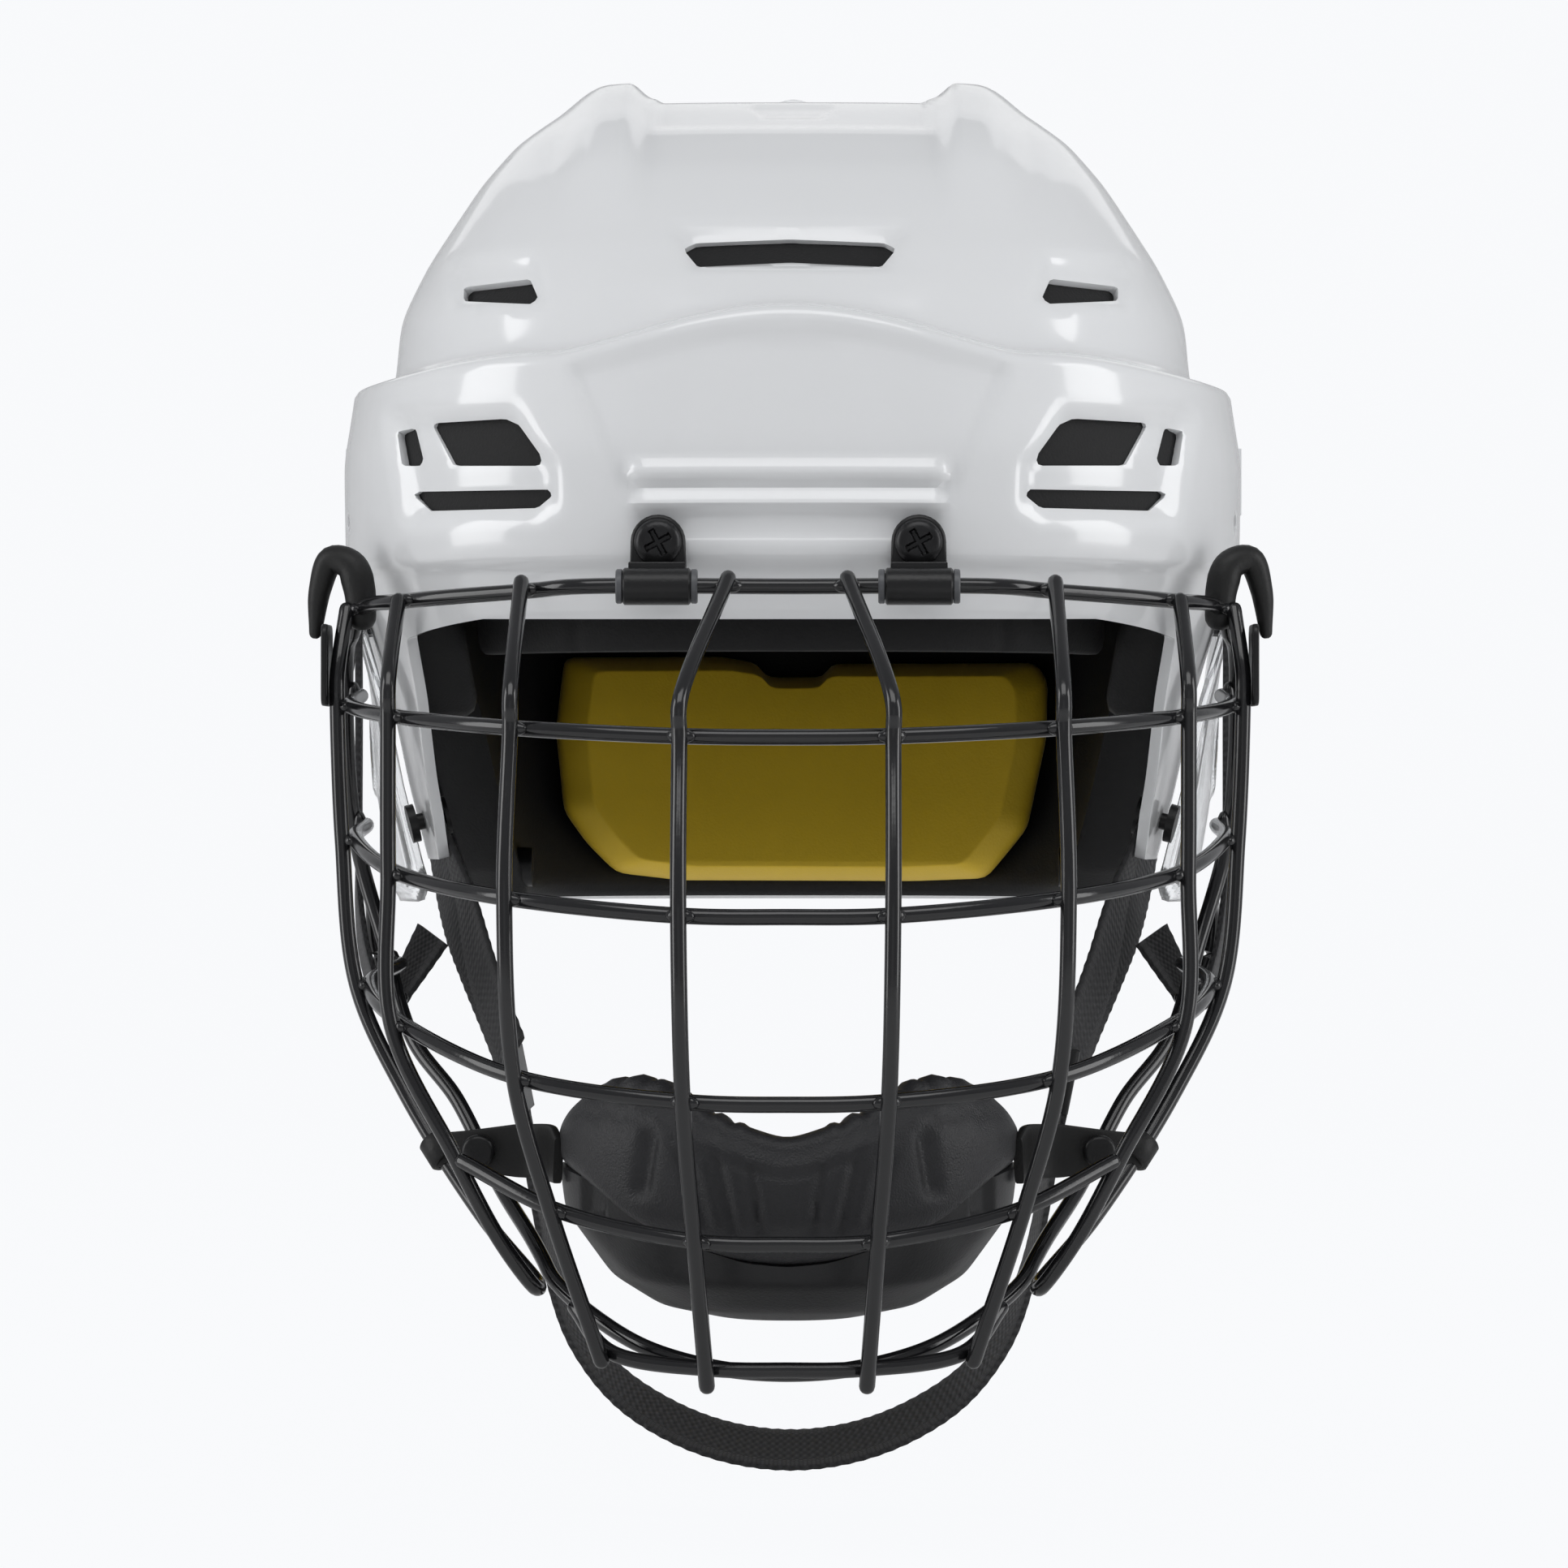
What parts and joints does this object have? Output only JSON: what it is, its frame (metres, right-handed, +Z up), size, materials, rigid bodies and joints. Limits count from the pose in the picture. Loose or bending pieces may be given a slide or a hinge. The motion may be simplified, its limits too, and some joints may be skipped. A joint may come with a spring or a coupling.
{
  "type": "ice hockey helmet with wire cage",
  "caption": "Ice hockey helmet in two sliding shells with foam liners, a hinged full wire face cage, chin cup, ear guards and webbing straps.",
  "frame": {"origin": "centre of the head opening, on the middle plane, level with the lower part of the brow", "axes": "+X to the right in a view of the face, +Y to the back of the head, +Z up"},
  "size_m": [0.2254, 0.3443, 0.3302],
  "materials": {
    "white_shell": "gloss moulded shell",
    "black_foam": "closed cell foam",
    "yellow_foam": "closed cell foam",
    "wire_steel": "gloss black dipped steel wire",
    "black_rubber": "soft",
    "black_webbing": "woven webbing",
    "black_trim": "satin moulded",
    "grey_bush": "satin moulded",
    "plain_steel": "zinc plated",
    "clear_guard": "clear moulded sheet",
    "black_cup": "satin moulded",
    "cup_foam": "soft, matt"
  },
  "bodies": {
    "helmet": {"front_shell": "white_shell", "front_liner": "black_foam", "brow_pad": "black_foam", "temple_pads": "black_foam", "crown_pads": "yellow_foam", "hinge_clips": "black_trim", "clip_bushes": "grey_bush", "clip_screws": "black_trim", "clip_nuts": "plain_steel", "ear_guard_right": "clear_guard", "ear_guard_left": "clear_guard", "guard_screws": "black_trim", "lock_base_right": "white_shell", "lock_base_left": "white_shell", "lock_pins": "plain_steel", "harness_front_straps": "black_webbing", "harness_rear_straps": "black_webbing", "strap_sliders": "black_trim", "chin_strap": "black_webbing", "strap_anchors": "black_trim"},
    "rear": {"rear_shell": "white_shell", "rear_liner": "black_foam", "rear_pad": "yellow_foam", "pad_rivets": "black_trim"},
    "cage": {"cage_top_bar": "wire_steel", "cage_lower_bar": "wire_steel", "cage_row_eye": "wire_steel", "cage_row_nose": "wire_steel", "cage_row_mouth": "wire_steel", "cage_row_chin": "wire_steel", "cage_row_foot": "wire_steel", "cage_tags": "black_trim", "cage_hooks": "black_rubber", "cage_straps": "black_webbing", "cage_strap_snaps": "black_trim", "cage_rim_wire_right": "wire_steel", "cage_rim_wire_left": "wire_steel", "cage_inner_upright_right": "wire_steel", "cage_inner_upright_left": "wire_steel", "cage_outer_upright_right": "wire_steel", "cage_outer_upright_left": "wire_steel", "cage_hairpin_right": "wire_steel", "cage_hairpin_left": "wire_steel", "cage_strap_loop_right": "wire_steel", "cage_strap_loop_left": "wire_steel"},
    "chin_cup": {"chin_cup_shell": "black_cup", "chin_cup_pad": "cup_foam", "chin_cup_arms": "black_rubber", "chin_cup_buttons": "black_trim"},
    "lock_right": {"lock_lever_right": "white_shell"},
    "lock_left": {"lock_lever_left": "white_shell"}
  },
  "joints": [
    {"name": "cage_hinge", "type": "hinge", "parent": "helmet", "child": "cage", "pos_m": [0, -0.15, 0.0444], "axis": [-1, 0, 0], "range_deg": [0, 120]},
    {"name": "chin_cup_tilt", "type": "hinge", "parent": "cage", "child": "chin_cup", "pos_m": [0, -0.1209, -0.0837], "axis": [1, 0, 0], "range_deg": [-6, 6]},
    {"name": "size_slide", "type": "slide", "parent": "helmet", "child": "rear", "axis": [0, 1, 0], "range_m": [0, 0.012]},
    {"name": "lock_right_flip", "type": "hinge", "parent": "helmet", "child": "lock_right", "pos_m": [0.1083, -0.0068, 0.074], "axis": [0, 0, -1], "range_deg": [0, 75]},
    {"name": "lock_left_flip", "type": "hinge", "parent": "helmet", "child": "lock_left", "pos_m": [-0.1083, -0.0068, 0.074], "axis": [0, 0, 1], "range_deg": [0, 75]}
  ]
}
